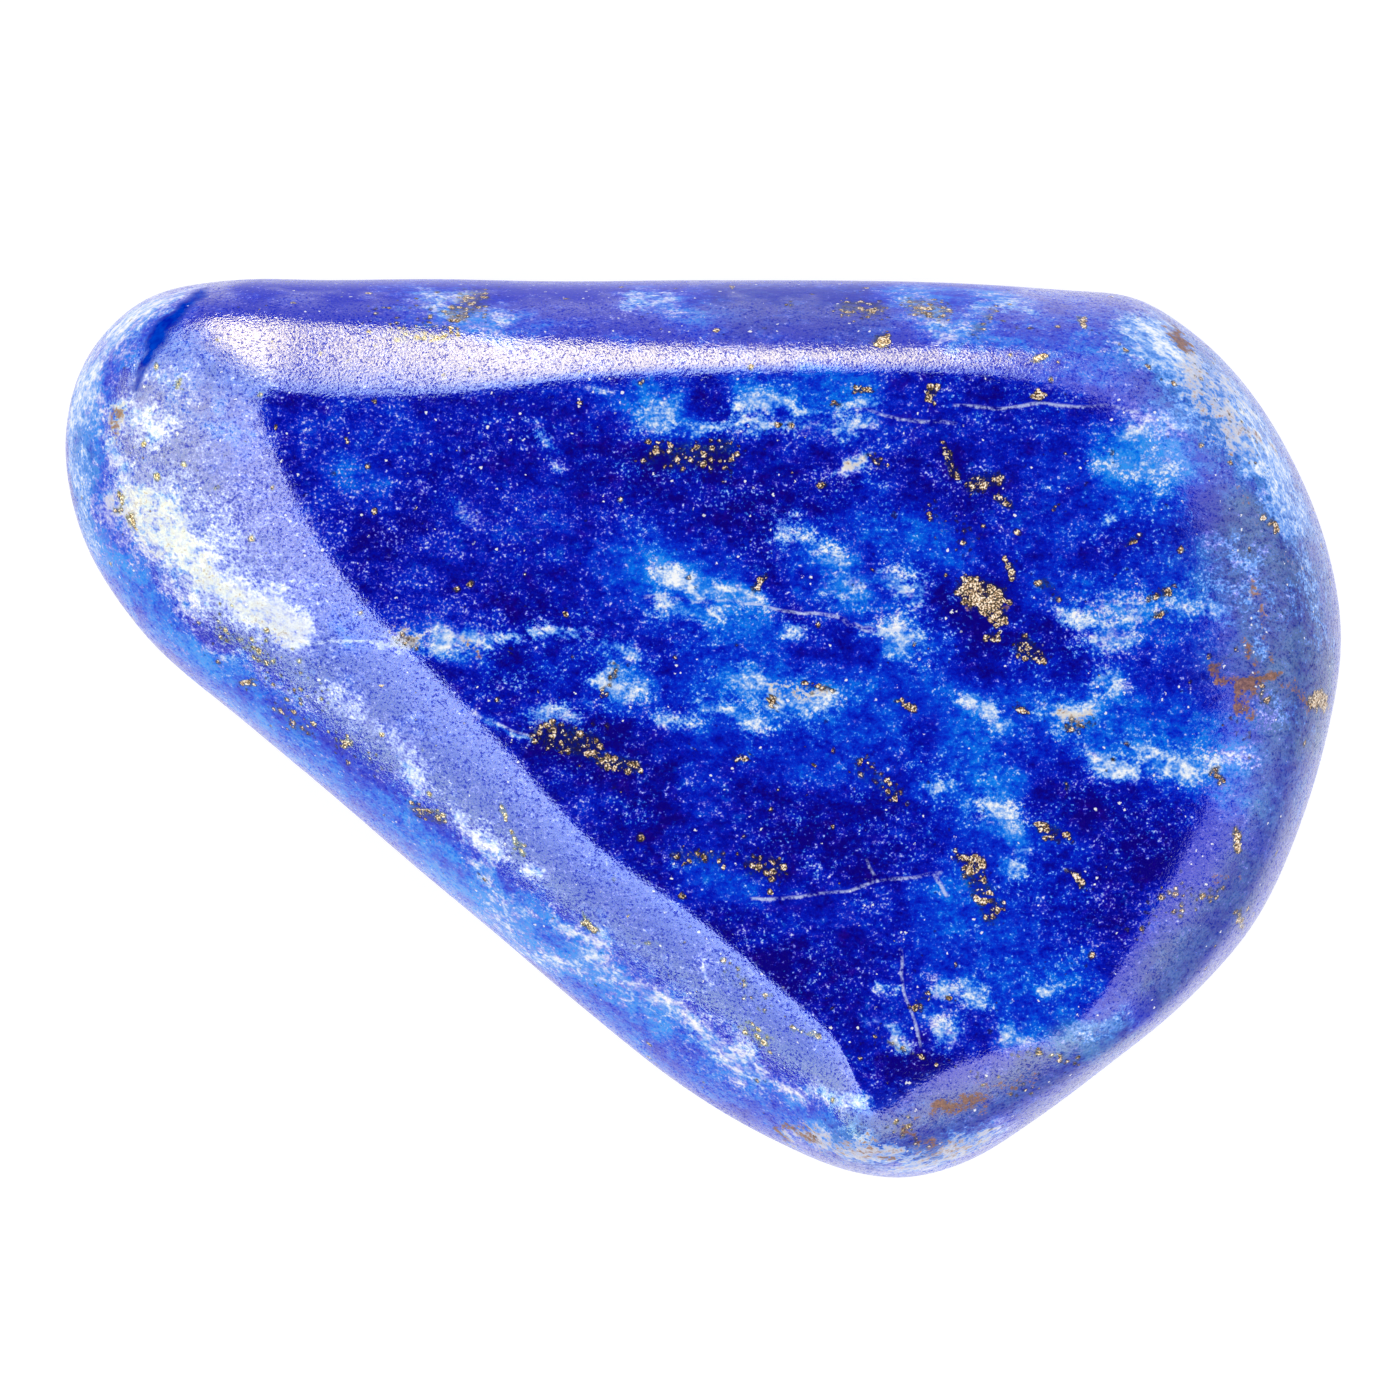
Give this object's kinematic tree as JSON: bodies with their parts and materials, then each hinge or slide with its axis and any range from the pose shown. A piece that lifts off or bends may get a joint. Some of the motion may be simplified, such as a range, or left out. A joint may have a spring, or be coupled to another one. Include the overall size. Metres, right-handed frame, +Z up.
{
  "type": "lapis lazuli stone",
  "caption": "Polished, tumbled lapis lazuli stone with a broad flat top, rounded sides and a small flat spot underneath that it rests on.",
  "frame": {"origin": "on the surface that the stone lies on, under the middle of its box", "axes": "+X along the stone's length towards its round end, +Z up out of its flat top"},
  "size_m": [0.032, 0.0225, 0.0118],
  "materials": {
    "lapis": "polished rock: deep ultramarine lazurite with white calcite clouds and brassy pyrite grains"
  },
  "bodies": {
    "root": {"stone": "lapis"}
  },
  "joints": []
}
